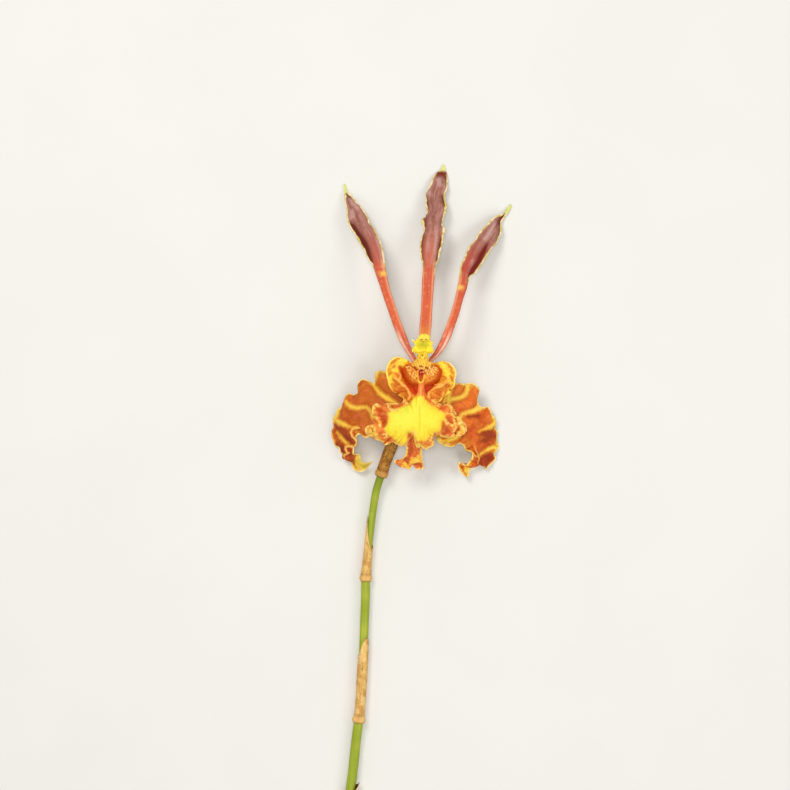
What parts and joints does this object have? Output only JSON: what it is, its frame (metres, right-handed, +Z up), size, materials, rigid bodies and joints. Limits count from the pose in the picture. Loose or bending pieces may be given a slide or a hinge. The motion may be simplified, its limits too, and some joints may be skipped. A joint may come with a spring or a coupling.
{
  "type": "butterfly orchid flower",
  "caption": "Butterfly orchid flower with upright antenna-like petals, striped orange sepals and a frilled yellow lip, on its cut jointed stem, lying face up.",
  "frame": {"origin": "centre of the footprint, on the surface that the cut flower lies on", "axes": "+Z up from the surface, which is the way the flower faces; +Y along the stem, from its cut end towards the flower; +X to the right as the flower faces the viewer"},
  "size_m": [0.0824, 0.3057, 0.0317],
  "materials": {
    "stem": "living green stalk, satin, with fine lengthwise ribs",
    "dry_sheath": "dry papery tan sheath with fibres and small brown specks",
    "brown_bract": "dry brown papery bract with a paler rounded rim",
    "maroon_tepal": "soft satin petal tissue, mauve brown above a salmon orange stalk, edged yellow green",
    "orange_sepal": "soft petal tissue, rust orange with yellow bars and a thin pale yellow rim",
    "yellow_lip": "soft petal tissue, bright yellow middle with a frilled orange and yellow margin",
    "column": "waxy yellow tissue with olive centre and brown specks",
    "anther": "waxy pale yellow cap",
    "pollen": "waxy orange pollen masses"
  },
  "bodies": {
    "root": {"flower_stem": "stem", "base_sheath": "dry_sheath", "lower_sheath": "dry_sheath", "upper_sheath": "dry_sheath", "flower_bract": "brown_bract", "pedicel_and_ovary": "stem", "dorsal_sepal": "maroon_tepal", "left_petal": "maroon_tepal", "right_petal": "maroon_tepal", "left_lateral_sepal": "orange_sepal", "right_lateral_sepal": "orange_sepal", "lip": "yellow_lip", "column": "column", "anther_cap": "anther", "pollinarium": "pollen"}
  },
  "joints": []
}
